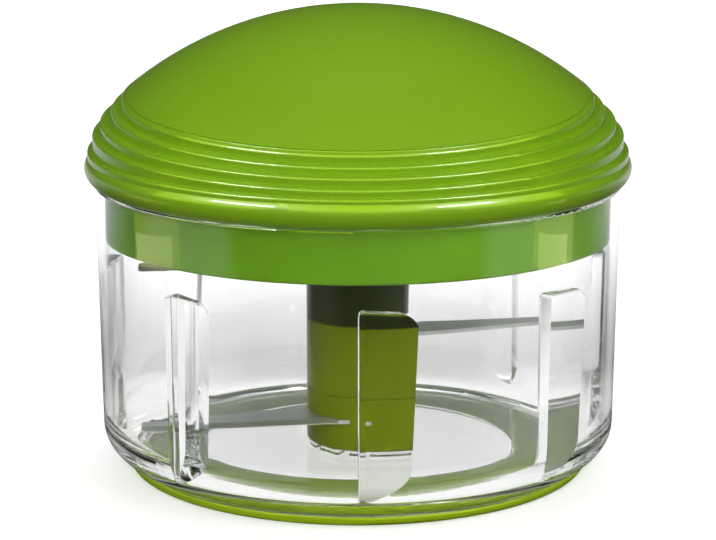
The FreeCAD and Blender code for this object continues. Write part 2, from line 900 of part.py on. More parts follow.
def tooth_solid(first, last, slope_from, slope_to, flat):
    # A wedge between two angles whose sloping face runs from one height to the other; flat is its flat side
    low_in, low_out = polar(ratchet_inner_radius, first), polar(ratchet_outer_radius, first)
    high_in, high_out = polar(ratchet_inner_radius, last), polar(ratchet_outer_radius, last)
    slope = [
        Vector(*low_in, slope_from),
        Vector(*low_out, slope_from),
        Vector(*high_out, slope_to),
        Vector(*high_in, slope_to),
    ]
    base = [Vector(p.x, p.y, flat) for p in slope]

    def face(*points):
        return Part.Face(Part.makePolygon(list(points) + [points[0]]))

    faces = [
        face(slope[0], slope[1], slope[2]),
        face(slope[0], slope[2], slope[3]),
        face(base[0], base[1], base[2]),
        face(base[0], base[2], base[3]),
    ]
    for i in range(4):
        j = (i + 1) % 4
        if abs(slope[i].z - flat) < 1e-6:
            faces.append(face(slope[i], base[j], slope[j]))
        elif abs(slope[j].z - flat) < 1e-6:
            faces.append(face(slope[i], base[i], slope[j]))
        else:
            faces.append(face(slope[i], base[i], base[j], slope[j]))
    return Part.Solid(Part.makeShell(faces))


def make_cord_drum(spring_end):
    body = turned(
        [
            (axle_radius + bearing_gap, drum_hub_bottom),
            (drum_hub_radius, drum_hub_bottom),
            (drum_hub_radius, groove_top - 1.5),
            (drum_core_radius - drum_core_wall, groove_top - 1.5),
            (drum_core_radius - drum_core_wall, drum_bottom),
            (drum_flange_radius, drum_bottom, 0.4),
            (drum_flange_radius, groove_bottom, 0.6),
            (drum_core_radius, groove_bottom),
            (drum_core_radius, groove_top),
            (cup_radius, groove_top, 0.6),
            (cup_radius, cup_top),
            (cup_radius - cup_wall, cup_top),
            (cup_radius - cup_wall, cup_floor_top),
            (axle_radius + bearing_gap, cup_floor_top),
        ]
    )
    spoke = block(
        drum_hub_radius - 0.5,
        drum_core_radius - drum_core_wall + 0.5,
        -drum_spoke_thickness / 2,
        drum_spoke_thickness / 2,
        drum_bottom + 2,
        groove_top - 1,
    )
    body = body.fuse(around(spoke, drum_spoke_count))
    half = spring_thickness / 2 + spring_slot_gap
    slot_end = -cup_radius + 3 * cup_wall
    body = body.cut(block(spring_end - spring_slot_gap, slot_end, -half, half, cup_floor_top, cup_top + 1))
    tail = disc(cord_radius + cord_hole_gap, drum_bottom - 1, groove_bottom + 0.1)
    x, y = tail_place()
    tail.translate(Vector(x, y, 0))
    body = body.cut(tail)
    step = 360.0 / ratchet_count
    sink = drum_bottom + ratchet_gap
    tooth = tooth_solid(0.4, step - 0.4, drum_bottom, drum_bottom - ratchet_height + ratchet_gap, sink)
    return body.fuse(around(tooth, ratchet_count))


def tangent_angle():
    # Where the straight cord to the eyelet leaves the drum
    return 90.0 - math.degrees(math.acos(cord_line_radius / eyelet_mouth))


def helix_start():
    return tangent_angle() - 360.0 * cord_turns


def tail_place():
    # The centre of the cord's tail, one bend radius before the helix begins
    angle = helix_start()
    x, y = polar(cord_line_radius, angle)
    tx, ty = polar(1.0, angle - 90)
    return x + tx * cord_tail_bend, y + ty * cord_tail_bend


def make_cord_winding():
    low = cord_height - cord_turns * cord_pitch
    last = tangent_angle() - 90.0
    edges, point, way = helix_edges(cord_line_radius, cord_pitch, helix_start(), last, low)
    start, start_way = point(helix_start()), way(helix_start())
    end = Vector(*polar(cord_line_radius, tangent_angle()), cord_height)
    level = Vector(*polar(1.0, tangent_angle() + 90), 0)
    edges += biarc(point(last), way(last), end, level)
    x, y = tail_place()
    foot = Vector(x, y, start.z - cord_tail_bend)
    tail = [Part.LineSegment(foot - Vector(0, 0, 2 * cord_radius), foot).toShape()]
    tail += biarc(foot, Vector(0, 0, 1), start, start_way)
    run = [Part.LineSegment(end, end + level * 4 * cord_radius).toShape()]
    print("winding: least gap to itself %.2f mm" % least_self_gap(edges, cord_radius, 3 * cord_line_radius))
    return wire_solid(tail + edges + run, cord_radius), end + level * 4 * cord_radius


def make_cord_lead(start):
    corner = Vector(0, eyelet_mouth, cord_height)
    end = Vector(0, knot_seat, cord_height)
    into = (corner - start).normalize()
    out = Vector(0, 1, 0)
    half_turn = into.getAngle(out) / 2
    radius = 10 * cord_radius
    back = radius * math.tan(half_turn)
    before, after = corner - into * back, corner + out * back
    edges = [
        Part.LineSegment(start, before).toShape(),
        arc_from(before, corner, after),
        Part.LineSegment(after, end).toShape(),
    ]
    print("cord lead: bend %.1f degrees at radius %.1f mm" % (math.degrees(2 * half_turn), radius))
    return wire_solid(edges, cord_radius)


def make_spring_cover():
    return turned(
        [
            (arbor_radius + running_gap, cup_top),
            (cup_radius - 2 * joint_gap, cup_top),
            (cup_radius - 2 * joint_gap, spring_cover_top, 0.4),
            (arbor_radius + running_gap, spring_cover_top),
        ]
    )


# Drive socket, clutch dog and its spring


def make_drive_socket():
    bore = hexagon(head_across_flats + 2 * socket_hex_gap, socket_bottom - 1, head_top + socket_hex_gap)
    chamber = disc(washer_radius + running_gap, head_top, web_bottom)
    body = turned(
        [
            (0, socket_bottom),
            (socket_radius, socket_bottom, 0.6),
            (socket_radius, socket_flange_bottom),
            (socket_flange_radius, socket_flange_bottom),
            (socket_flange_radius, socket_flange_top, 0.4),
            (socket_neck_radius, socket_flange_top),
            (socket_neck_radius, web_top, 0.4),
            (0, web_top),
        ]
    )
    tip = socket_neck_radius + key_height
    key = block(socket_neck_radius - 1, tip, -key_width / 2, key_width / 2, socket_flange_top, web_top - 0.6)
    body = body.fuse(around(key, key_count))
    return body.cut(bore).cut(chamber).cut(disc(axle_radius + bearing_gap, web_bottom - 1, web_top + 1))


def make_clutch_dog():
    body = turned(
        [
            (socket_neck_radius + key_gap, dog_bottom),
            (ratchet_outer_radius, dog_bottom, 0.3),
            (ratchet_outer_radius, dog_top),
            (socket_neck_radius + key_gap, dog_top),
        ]
    )
    half = key_width / 2 + key_gap
    keyway = block(0, socket_neck_radius + key_height + key_gap, -half, half, dog_bottom - 1, dog_top + 1)
    body = body.cut(Part.makeCompound(around(keyway, key_count)))
    step = 360.0 / ratchet_count
    sink = dog_top - ratchet_gap
    tooth = tooth_solid(0.4, step - 0.4, dog_top + ratchet_height - ratchet_gap, sink, sink)
    return body.fuse(around(tooth, ratchet_count))


def make_clutch_spring():
    low = socket_flange_top + clutch_wire_radius
    high = dog_bottom - clutch_wire_radius
    pitch = (high - low) / clutch_coils
    edges, point, way = helix_edges(clutch_coil_radius, pitch, 0.0, 360.0 * clutch_coils, low)
    least = least_self_gap(edges, clutch_wire_radius, 3 * clutch_coil_radius)
    print("clutch spring: least gap to itself %.2f mm" % least)
    return wire_solid(edges, clutch_wire_radius)


def make_drum_washer():
    low = web_top + joint_gap
    return tube(drum_hub_radius, axle_radius + bearing_gap, low, low + washer_thickness)


# Handle body


def make_handle_grip(outer):
    reach = sector(grip_inner_radius, roll_radius + 1, 0.0, handle_bottom, dome_top)
    inner = grip_inner_radius - 1
    lower = sector(inner, chamber_lower_radius, handle_end_wall, chamber_bottom, chamber_step)
    upper = sector(inner, chamber_upper_radius, handle_end_wall, chamber_bottom, chamber_top)
    return outer.common(reach).cut(lower.fuse(upper))


def make_handle_liner():
    low, high = chamber_bottom + joint_gap, chamber_top - joint_gap
    plate = sector(liner_inner_radius, liner_outer_radius, handle_end_wall + joint_gap, low, high)
    neck_end = well_inner_radius + 1.5 * running_gap
    neck = block(
        -neck_half_width,
        neck_half_width,
        neck_end,
        liner_outer_radius - liner_thickness / 4,
        cord_height - neck_half_height,
        cord_height + neck_half_height,
    )
    edges = [e for e in neck.Edges if abs(e.Vertexes[0].Point.y - e.Vertexes[-1].Point.y) > 1]
    neck = neck.makeFillet(neck_rounding, edges)
    bore = cord_radius + cord_hole_gap
    hole_start = Vector(0, neck_end - 1, cord_height)
    hole = Part.makeCylinder(bore, roll_radius - neck_end, hole_start, Vector(0, 1, 0))
    return plate.fuse(neck).cut(hole)


def make_cord_knot():
    centre = Vector(0, knot_seat + knot_radius, cord_height)
    ball = Part.makeSphere(knot_radius, centre)
    loop = Part.makeTorus(knot_radius * 0.75, knot_radius * 0.42, centre, Vector(1, 1, 0.6))
    low, high = cord_height - 2 * knot_radius, cord_height + 2 * knot_radius
    room = block(-2 * knot_radius, 2 * knot_radius, knot_seat, knot_seat + 2 * knot_radius, low, high)
    return ball.fuse(loop).common(room)


def main():
    os.makedirs("parts", exist_ok=True)
    write("bowl", make_bowl())
    write("base_ring", make_base_ring())
    write("pivot_pin", make_pivot_pin())

    sections = (
        ("hub_foot", hub_bottom, hub_foot_top, "blade_lower"),
        ("hub_middle", hub_foot_top, hub_middle_top, "blade_middle"),
        ("hub_top", hub_middle_top, hub_top_height, "blade_upper"),
    )
    for node, low, high, blade_node in sections:
        height = high - blade_drops[blade_node]
        blade = make_blade(blade_node, height)
        write(blade_node, blade)
        write(node, make_hub_section(low, high - joint_gap, blade, blade_node, height))
    write("spindle_core", make_spindle_core())

    outer = make_outer_form()
    write("lid_shell", make_lid_shell(outer, make_inner_form()))
    write("inner_cover", make_inner_cover())
    write("cover_screws", make_cover_screws())
    write("axle", make_axle())
    write("axle_clip", make_axle_clip())
    write("axle_washer", make_axle_washer())
    write("cord_eyelet", make_cord_eyelet())
    spring, spring_end = make_recoil_spring()
    write("recoil_spring", spring)

    write("cord_drum", make_cord_drum(spring_end))
    winding, leave = make_cord_winding()
    write("cord_winding", winding)
    write("spring_cover", make_spring_cover())
    write("drum_washer", make_drum_washer())

    write("drive_socket", make_drive_socket())
    write("clutch_dog", make_clutch_dog())
    write("clutch_spring", make_clutch_spring())

    write("handle_grip", make_handle_grip(outer))
    write("handle_liner", make_handle_liner())
    write("cord_knot", make_cord_knot())
    write("cord_lead", make_cord_lead(leave))
    print("pull length %.1f mm, drum turns %.2f" % (pull_length, pulled_turns))


main()
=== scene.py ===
import math

import bpy
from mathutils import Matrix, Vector


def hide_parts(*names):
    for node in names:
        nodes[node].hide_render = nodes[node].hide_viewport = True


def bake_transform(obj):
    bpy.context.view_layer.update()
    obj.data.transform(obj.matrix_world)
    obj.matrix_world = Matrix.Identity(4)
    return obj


# Looks of the pull-cord food chopper: clear bowl, green lid and pull handle, blade unit, soft foot ring.
# Metres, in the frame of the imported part: +Z up, the front is -Y, the handle is at +Y.

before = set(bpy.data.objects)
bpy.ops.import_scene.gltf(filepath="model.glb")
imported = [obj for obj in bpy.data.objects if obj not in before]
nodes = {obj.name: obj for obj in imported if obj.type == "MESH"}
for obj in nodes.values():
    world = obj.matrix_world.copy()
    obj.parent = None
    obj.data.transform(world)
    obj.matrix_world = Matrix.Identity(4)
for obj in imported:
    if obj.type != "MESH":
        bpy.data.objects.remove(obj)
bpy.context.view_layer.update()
print("frame loaded:", len(nodes), "nodes")


# Node helpers

def newMaterial(name):
    mat = bpy.data.materials.new(name)
    mat.use_nodes = True
    tree = mat.node_tree
    tree.nodes.clear()
    out = tree.nodes.new("ShaderNodeOutputMaterial")
    shader = tree.nodes.new("ShaderNodeBsdfPrincipled")
    tree.links.new(shader.outputs["BSDF"], out.inputs["Surface"])
    return mat, tree, shader


def newGroup(name, inputs, outputs):
    tree = bpy.data.node_groups.new(name, "ShaderNodeTree")
    for label, kind, value in inputs:
        socket = tree.interface.new_socket(label, in_out="INPUT", socket_type=kind)
        socket.default_value = value
    for label, kind in outputs:
        tree.interface.new_socket(label, in_out="OUTPUT", socket_type=kind)
    return tree, tree.nodes.new("NodeGroupInput"), tree.nodes.new("NodeGroupOutput")


def placeGroup(tree, group, values):
    node = tree.nodes.new("ShaderNodeGroup")
    node.node_tree = group
    for label, value in values.items():
        node.inputs[label].default_value = value
    return node


def mathNode(tree, operation, first, second=0.0):
    node = tree.nodes.new("ShaderNodeMath")
    node.operation = operation
    for socket, value in zip(node.inputs, (first, second)):
        if isinstance(value, (int, float)):
            socket.default_value = value
        else:
            tree.links.new(value, socket)
    return node.outputs[0]


def rangeNode(tree, value, low, high):
    # Carries 0 to 1 over to low to high, where either end may be another node's output
    node = tree.nodes.new("ShaderNodeMapRange")
    tree.links.new(value, node.inputs["Value"])
    for label, end in (("To Min", low), ("To Max", high)):
        if isinstance(end, (int, float)):
            node.inputs[label].default_value = end
        else:
            tree.links.new(end, node.inputs[label])
    return node.outputs["Result"]


def smoothShare(tree, value, low, high):
    # Rises softly from 0 at low to 1 at high
    node = tree.nodes.new("ShaderNodeMapRange")
    node.interpolation_type = "SMOOTHSTEP"
    node.inputs["From Min"].default_value = low
    node.inputs["From Max"].default_value = high
    tree.links.new(value, node.inputs["Value"])
    return node.outputs["Result"]


def noiseNode(tree, vector, scale, detail):
    node = tree.nodes.new("ShaderNodeTexNoise")
    node.inputs["Detail"].default_value = detail
    if isinstance(scale, (int, float)):
        node.inputs["Scale"].default_value = scale
    else:
        tree.links.new(scale, node.inputs["Scale"])
    tree.links.new(vector, node.inputs["Vector"])
    return node.outputs["Fac"]


def objectPlace(tree):
    return tree.nodes.new("ShaderNodeTexCoord").outputs["Object"]


def splitAxes(tree, vector):
    split = tree.nodes.new("ShaderNodeSeparateXYZ")
    tree.links.new(vector, split.inputs["Vector"])
    return split.outputs


def addBump(tree, shader, height, depth):
    bump = tree.nodes.new("ShaderNodeBump")
    bump.inputs["Strength"].default_value = 1.0
    bump.inputs["Distance"].default_value = depth
    tree.links.new(height, bump.inputs["Height"])
    tree.links.new(bump.outputs["Normal"], shader.inputs["Normal"])


# Effects that several finishes share

def buildMouldedSkin():
    # Faint flow marks and orange peel of injection-moulded plastic
    tree, given, made = newGroup(
        "mouldedSkin",
        [
            ("Color", "NodeSocketColor", (0.5, 0.5, 0.5, 1)),
            ("Shade", "NodeSocketFloat", 0.04),
            ("Roughness", "NodeSocketFloat", 0.3),
            ("Spread", "NodeSocketFloat", 0.05),
            ("Grain", "NodeSocketFloat", 900.0),
        ],
        [("Color", "NodeSocketColor"), ("Roughness", "NodeSocketFloat"), ("Height", "NodeSocketFloat")],
    )
    look = {"flowScale": 18.0, "detail": 2.0}
    place = objectPlace(tree)
    flow = noiseNode(tree, place, look["flowScale"], look["detail"])
    grain = noiseNode(tree, place, given.outputs["Grain"], look["detail"])
    low = mathNode(tree, "SUBTRACT", 1.0, given.outputs["Shade"])
    value = rangeNode(tree, flow, low, 1.0)
    tint = tree.nodes.new("ShaderNodeHueSaturation")
    tree.links.new(given.outputs["Color"], tint.inputs["Color"])
    tree.links.new(value, tint.inputs["Value"])
    tree.links.new(tint.outputs["Color"], made.inputs["Color"])
    top = mathNode(tree, "ADD", given.outputs["Roughness"], given.outputs["Spread"])
    tree.links.new(rangeNode(tree, flow, given.outputs["Roughness"], top), made.inputs["Roughness"])
    tree.links.new(grain, made.inputs["Height"])
    return tree


def buildBrushedGrain():
    # Fine parallel scratches of rolled or ground steel, drawn out along X
    tree, given, made = newGroup(
        "brushedGrain",
        [
            ("Color", "NodeSocketColor", (0.5, 0.5, 0.5, 1)),
            ("Roughness", "NodeSocketFloat", 0.3),
            ("Spread", "NodeSocketFloat", 0.15),
            ("Stretch", "NodeSocketVector", (60, 3000, 900)),
        ],
        [("Color", "NodeSocketColor"), ("Roughness", "NodeSocketFloat"), ("Height", "NodeSocketFloat")],
    )
    look = {"detail": 4.0, "darkest": 0.82, "brightest": 1.1}
    scaled = tree.nodes.new("ShaderNodeVectorMath")
    scaled.operation = "MULTIPLY"
    tree.links.new(objectPlace(tree), scaled.inputs[0])
    tree.links.new(given.outputs["Stretch"], scaled.inputs[1])
    grain = noiseNode(tree, scaled.outputs[0], 1.0, look["detail"])
    tint = tree.nodes.new("ShaderNodeHueSaturation")
    tree.links.new(given.outputs["Color"], tint.inputs["Color"])
    value = rangeNode(tree, grain, look["darkest"], look["brightest"])
    tree.links.new(value, tint.inputs["Value"])
    tree.links.new(tint.outputs["Color"], made.inputs["Color"])
    top = mathNode(tree, "ADD", given.outputs["Roughness"], given.outputs["Spread"])
    tree.links.new(rangeNode(tree, grain, given.outputs["Roughness"], top), made.inputs["Roughness"])
    tree.links.new(grain, made.inputs["Height"])
    return tree


mouldedSkin = buildMouldedSkin()
brushedGrain = buildBrushedGrain()
print("shared effects built")


# Finishes

glowReach = {"radius": (0.6, 1.0, 0.2), "scale": 0.002}  # how far light spreads inside the plastics


def plasticFinish(look):
    mat, tree, shader = newMaterial(look["name"])
    skin = placeGroup(
        tree,
        mouldedSkin,
        {
            "Color": look["color"] + (1,),
            "Shade": look["shade"],
            "Roughness": look["roughness"],
            "Spread": look["spread"],
            "Grain": look["grain"],
        },
    )
    tree.links.new(skin.outputs["Color"], shader.inputs["Base Color"])
    tree.links.new(skin.outputs["Roughness"], shader.inputs["Roughness"])
    addBump(tree, shader, skin.outputs["Height"], look["bump"])
    shader.inputs["Specular IOR Level"].default_value = look["specular"]
    shader.inputs["Coat Weight"].default_value = look["coat"]
    shader.inputs["Coat Roughness"].default_value = look["coatRoughness"]
    shader.inputs["Subsurface Weight"].default_value = look["glow"]
    shader.inputs["Subsurface Radius"].default_value = glowReach["radius"]
    shader.inputs["Subsurface Scale"].default_value = glowReach["scale"]
    return mat


def steelFinish(look):
    mat, tree, shader = newMaterial(look["name"])
    grain = placeGroup(
        tree,
        brushedGrain,
        {
            "Color": look["color"] + (1,),
            "Roughness": look["roughness"],
            "Spread": look["spread"],
            "Stretch": look["stretch"],
        },
    )
    tree.links.new(grain.outputs["Color"], shader.inputs["Base Color"])
    tree.links.new(grain.outputs["Roughness"], shader.inputs["Roughness"])
    addBump(tree, shader, grain.outputs["Height"], look["bump"])
    shader.inputs["Metallic"].default_value = look["metal"]
    return mat


def clearFinish(look):
    mat, tree, shader = newMaterial(look["name"])
    shader.inputs["Roughness"].default_value = look["roughness"]
    shader.inputs["IOR"].default_value = look["ior"]
    shader.inputs["Transmission Weight"].default_value = 1.0
    # The melt has run upwards, so the waves in the wall are drawn out along Z
    drawn = tree.nodes.new("ShaderNodeMapping")
    drawn.inputs["Scale"].default_value = look["draw"]
    tree.links.new(objectPlace(tree), drawn.inputs["Vector"])
    waves = drawn.outputs["Vector"]
    ripple = noiseNode(tree, waves, look["rippleScale"], look["rippleDetail"])
    flow = noiseNode(tree, waves, look["streakScale"], look["streakDetail"])
    streak = smoothShare(tree, flow, *look["streakEnds"])
    tint = tree.nodes.new("ShaderNodeMix")
    tint.data_type = "RGBA"
    tint.inputs["A"].default_value = look["streak"] + (1,)
    tint.inputs["B"].default_value = look["color"] + (1,)
    tree.links.new(streak, tint.inputs["Factor"])
    tree.links.new(tint.outputs["Result"], shader.inputs["Base Color"])
    addBump(tree, shader, ripple, look["ripple"])
    return mat


def braidFinish(look):
    # Two crossing sets of strands, read from the cord's own place so that they don't stretch
    mat, tree, shader = newMaterial(look["name"])
    place = objectPlace(tree)
    strands = []
    for turn in (look["slant"], -look["slant"]):
        mapping = tree.nodes.new("ShaderNodeMapping")
        mapping.inputs["Rotation"].default_value = (turn, turn, turn)
        tree.links.new(place, mapping.inputs["Vector"])
        wave = tree.nodes.new("ShaderNodeTexWave")
        wave.inputs["Scale"].default_value = look["strandScale"]
        wave.inputs["Distortion"].default_value = look["distortion"]
        tree.links.new(mapping.outputs["Vector"], wave.inputs["Vector"])
        strands.append(wave.outputs["Fac"])
    weave = mathNode(tree, "MULTIPLY", strands[0], strands[1])
    ramp = tree.nodes.new("ShaderNodeValToRGB")
    ramp.color_ramp.elements[0].color = look["shadow"] + (1,)
    ramp.color_ramp.elements[1].color = look["color"] + (1,)
    tree.links.new(weave, ramp.inputs["Fac"])
    tree.links.new(ramp.outputs["Color"], shader.inputs["Base Color"])
    tree.links.new(rangeNode(tree, weave, *look["roughness"]), shader.inputs["Roughness"])
    addBump(tree, shader, weave, look["bump"])
    return mat


lidGreen = plasticFinish({
    "name": "lidGreen", "color": (0.178, 0.35, 0.005), "shade": 0.05, "roughness": 0.3, "spread": 0.06,
    "grain": 700.0, "bump": 0.000001, "specular": 0.25, "coat": 0.35, "coatRoughness": 0.04, "glow": 0.0,
})
coverGreen = plasticFinish({
    "name": "coverGreen", "color": (0.103, 0.243, 0.0025), "shade": 0.05, "roughness": 0.38, "spread": 0.06,
    "grain": 900.0, "bump": 0.000003, "specular": 0.15, "coat": 0.0, "coatRoughness": 0.2, "glow": 0.0,
})
hubGreen = plasticFinish({
    "name": "hubGreen", "color": (0.15, 0.19, 0.001), "shade": 0.06, "roughness": 0.22, "spread": 0.06,
    "grain": 900.0, "bump": 0.000003, "specular": 0.08, "coat": 0.05, "coatRoughness": 0.06, "glow": 0.1,
})
# The hub's top section is the hub's plastic darkened nearly to black: painted shade from the lid close
# above it
hubShade = plasticFinish({
    "name": "hubShade", "color": (0.02, 0.027, 0.0003), "shade": 0.06, "roughness": 0.3, "spread": 0.06,
    "grain": 900.0, "bump": 0.000003, "specular": 0.1, "coat": 0.1, "coatRoughness": 0.06, "glow": 0.0,
})
footLime = plasticFinish({
    "name": "footLime", "color": (0.36, 0.53, 0.006), "shade": 0.06, "roughness": 0.5, "spread": 0.12,
    "grain": 2600.0, "bump": 0.000006, "specular": 0.25, "coat": 0.0, "coatRoughness": 0.3, "glow": 0.1,
})
bearingWhite = plasticFinish({
    "name": "bearingWhite", "color": (0.76, 0.76, 0.71), "shade": 0.05, "roughness": 0.42, "spread": 0.08,
    "grain": 1500.0, "bump": 0.000006, "specular": 0.5, "coat": 0.0, "coatRoughness": 0.3, "glow": 0.15,
})
bladeSteel = steelFinish({
    "name": "bladeSteel", "metal": 0.75, "color": (0.58, 0.58, 0.6), "roughness": 0.3, "spread": 0.16,
    "stretch": (90.0, 2600.0, 600.0), "bump": 0.000006,
})
turnedSteel = steelFinish({
    "name": "turnedSteel", "metal": 1.0, "color": (0.6, 0.6, 0.6), "roughness": 0.2, "spread": 0.12,
    "stretch": (200.0, 200.0, 5200.0), "bump": 0.000004,
})
springSteel = steelFinish({
    "name": "springSteel", "metal": 1.0, "color": (0.36, 0.37, 0.4), "roughness": 0.26, "spread": 0.14,
    "stretch": (400.0, 400.0, 4200.0), "bump": 0.000004,
})
bowlClear = clearFinish({
    "name": "bowlClear", "color": (0.99, 0.995, 0.993), "roughness": 0.03, "ior": 1.49,
    "streak": (0.97, 0.972, 0.972), "streakScale": 70.0, "streakDetail": 2.0, "streakEnds": (0.35, 0.65),
    "ripple": 0.00003, "rippleScale": 60.0, "rippleDetail": 1.0, "draw": (1.0, 1.0, 0.2),
})
cordBraid = braidFinish({
    "name": "cordBraid", "color": (0.82, 0.83, 0.78), "shadow": (0.3, 0.31, 0.27), "roughness": (0.9, 0.7),
    "slant": 0.7, "strandScale": 420.0, "distortion": 0.6, "bump": 0.0001,
})
finishes = {
    "bowl": bowlClear, "base_ring": footLime, "pivot_pin": turnedSteel,
    "hub_foot": hubGreen, "hub_middle": hubGreen, "hub_top": hubShade, "spindle_core": hubGreen,
    "blade_lower": bladeSteel, "blade_middle": bladeSteel, "blade_upper": bladeSteel,
    "lid_shell": lidGreen, "inner_cover": coverGreen, "cover_screws": turnedSteel,
    "axle": turnedSteel, "axle_clip": springSteel, "axle_washer": turnedSteel, "drum_washer": turnedSteel,
    "cord_eyelet": bearingWhite, "recoil_spring": springSteel, "cord_drum": bearingWhite,
    "spring_cover": bearingWhite, "cord_winding": cordBraid, "cord_lead": cordBraid, "cord_knot": cordBraid,
    "drive_socket": bearingWhite, "clutch_dog": bearingWhite, "clutch_spring": springSteel,
    "handle_grip": lidGreen, "handle_liner": coverGreen,
}
for name, node in nodes.items():
    node.data.materials.clear()
    node.data.materials.append(finishes[name])
print("finishes assigned")


# Two pieces change their length as the part moves, so each is copied into an object of its own and the
# original is hidden

def copyNode(name, copyName):
    piece = bpy.data.objects.new(copyName, nodes[name].data.copy())
    bpy.context.scene.collection.objects.link(piece)
    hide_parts(name)
    return piece


def buildCordRun():
    # The cord past the eyelet's mouth stretches out behind the lid when the handle is pulled
    run = copyNode("cord_lead", "cordRun")
    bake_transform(run)


def buildClutchCoil():
    # The coil is pressed together between the socket's flange and the dog
    coil = copyNode("clutch_spring", "clutchCoil")
    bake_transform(coil)


buildCordRun()
buildClutchCoil()
print("cord run and clutch coil built")


# Camera, light and floor

def setCamera():
    # Pitch in degrees below the horizon, focal length and picture width in pixels, sensor in millimetres
    look = {
        "place": (0, -0.600, 0.1823), "pitch": 12.75, "focal": 2545, "width": 716, "sensor": 36.0,
        "clip": (0.01, 50),
    }
    data = bpy.data.cameras.new("camera")
    data.sensor_width = look["sensor"]
    data.lens = look["focal"] * look["sensor"] / look["width"]
    data.clip_start, data.clip_end = look["clip"]
    camera = bpy.data.objects.new("camera", data)
    camera.location = look["place"]
    camera.rotation_euler = (math.radians(90 - look["pitch"]), 0, 0)
    bpy.context.scene.collection.objects.link(camera)
    bpy.context.scene.camera = camera


def addLamp(look):
    data = bpy.data.lights.new(look["name"], "AREA")
    data.shape = "RECTANGLE"
    data.size, data.size_y = look["size"]
    data.energy = look["power"]
    data.color = look["color"]
    lamp = bpy.data.objects.new(look["name"], data)
    lamp.location = look["place"]
    lamp.rotation_euler = (Vector(look["aim"]) - Vector(look["place"])).to_track_quat("-Z", "Y").to_euler()
    bpy.context.scene.collection.objects.link(lamp)
    return lamp


def setLight():
    # Soft boxes at the front left, front right and overhead, and a long strip above the camera.
    # They light the object and aren't mirrored in it. Powers in watts.
    white = (1, 1, 1)
    middle = (0, 0, 0.06)
    lamps = [
        {"name": "leftBox", "size": (0.5, 0.5), "power": 1.8, "place": (-0.55, -0.43, 0.69)},
        {"name": "rightBox", "size": (0.5, 0.5), "power": 3.0, "place": (0.54, -0.45, 0.69)},
        {"name": "frontStrip", "size": (1.0, 0.25), "power": 4.7, "place": (0, -0.90, 0.42),
         "color": (1.0, 0.94, 0.8)},
        {"name": "topBox", "size": (0.6, 0.6), "power": 2.4, "place": (0, 0.4, 0.95)},
    ]
    for look in lamps:
        lamp = addLamp({"color": white, "aim": middle, **look})
        lamp.visible_glossy = False


def setCards():
    # These are only seen mirrored: lime panels make the lid's steps glow, white strips give them glints,
    # and low cards beside the bowl give the two bright patches on the band, each with a lime border
    white, leaf, lime, pale = (1, 1, 1), (0.7, 1.0, 0.03), (1.0, 0.95, 0.05), (1.0, 1.0, 0.5)
    lid = (0, 0, 0.08)
    cards = [
        {"name": "frontPanel", "color": leaf, "size": (0.8, 0.7), "power": 11.0,
         "place": (0, -0.65, 0.55), "aim": lid},
        {"name": "leftPanel", "color": leaf, "size": (0.8, 0.7), "power": 11.0,
         "place": (-0.66, -0.30, 0.52), "aim": lid},
        {"name": "rightPanel", "color": leaf, "size": (0.8, 0.7), "power": 11.0,
         "place": (0.66, -0.30, 0.52), "aim": lid},
        {"name": "leftStrip", "color": white, "size": (0.42, 0.07), "power": 12.0,
         "place": (-0.60, -0.47, 0.62), "aim": lid},
        {"name": "rightStrip", "color": white, "size": (0.36, 0.07), "power": 10.0,
         "place": (0.56, -0.50, 0.62), "aim": lid},
        {"name": "leftFrame", "color": lime, "size": (0.074, 0.023), "power": 0.0045,
         "place": (-0.162, -0.027, 0.0385), "aim": (0, -0.027, 0.0385)},
        {"name": "leftCard", "color": pale, "size": (0.059, 0.009), "power": 0.0024,
         "place": (-0.160, -0.0235, 0.0325), "aim": (0, -0.0235, 0.0325)},
        {"name": "rightFrame", "color": lime, "size": (0.061, 0.023), "power": 0.0045,
         "place": (0.162, -0.0375, 0.0385), "aim": (0, -0.0375, 0.0385)},
        {"name": "rightCard", "color": pale, "size": (0.044, 0.010), "power": 0.0028,
         "place": (0.160, -0.039, 0.0325), "aim": (0, -0.039, 0.0325)},
    ]
    for look in cards:
        card = addLamp(look)
        card.visible_camera = False
        card.visible_diffuse = False
        card.visible_transmission = False


def throughBowl(tree, path, share, sideways, look):
    # Rays that leave the clear bowl: how much of them finds light, and how much the dark room in front.
    # Those on their way to light a surface always find light, more of it from the right.
    deep = mathNode(tree, "GREATER_THAN", path.outputs["Diffuse Depth"], 0.5)  # 1 once a ray has scattered
    toRight = smoothShare(tree, sideways, -look["reach"], look["reach"])
    leaning = rangeNode(tree, toRight, 1.0 - look["lean"], 1.0 + look["lean"])
    leaves = path.outputs["Is Transmission Ray"]
    light = mathNode(tree, "MULTIPLY", leaves, rangeNode(tree, deep, share, leaning))
    missed = rangeNode(tree, deep, mathNode(tree, "SUBTRACT", 1.0, share), 0.0)
    return light, mathNode(tree, "MULTIPLY", leaves, missed)


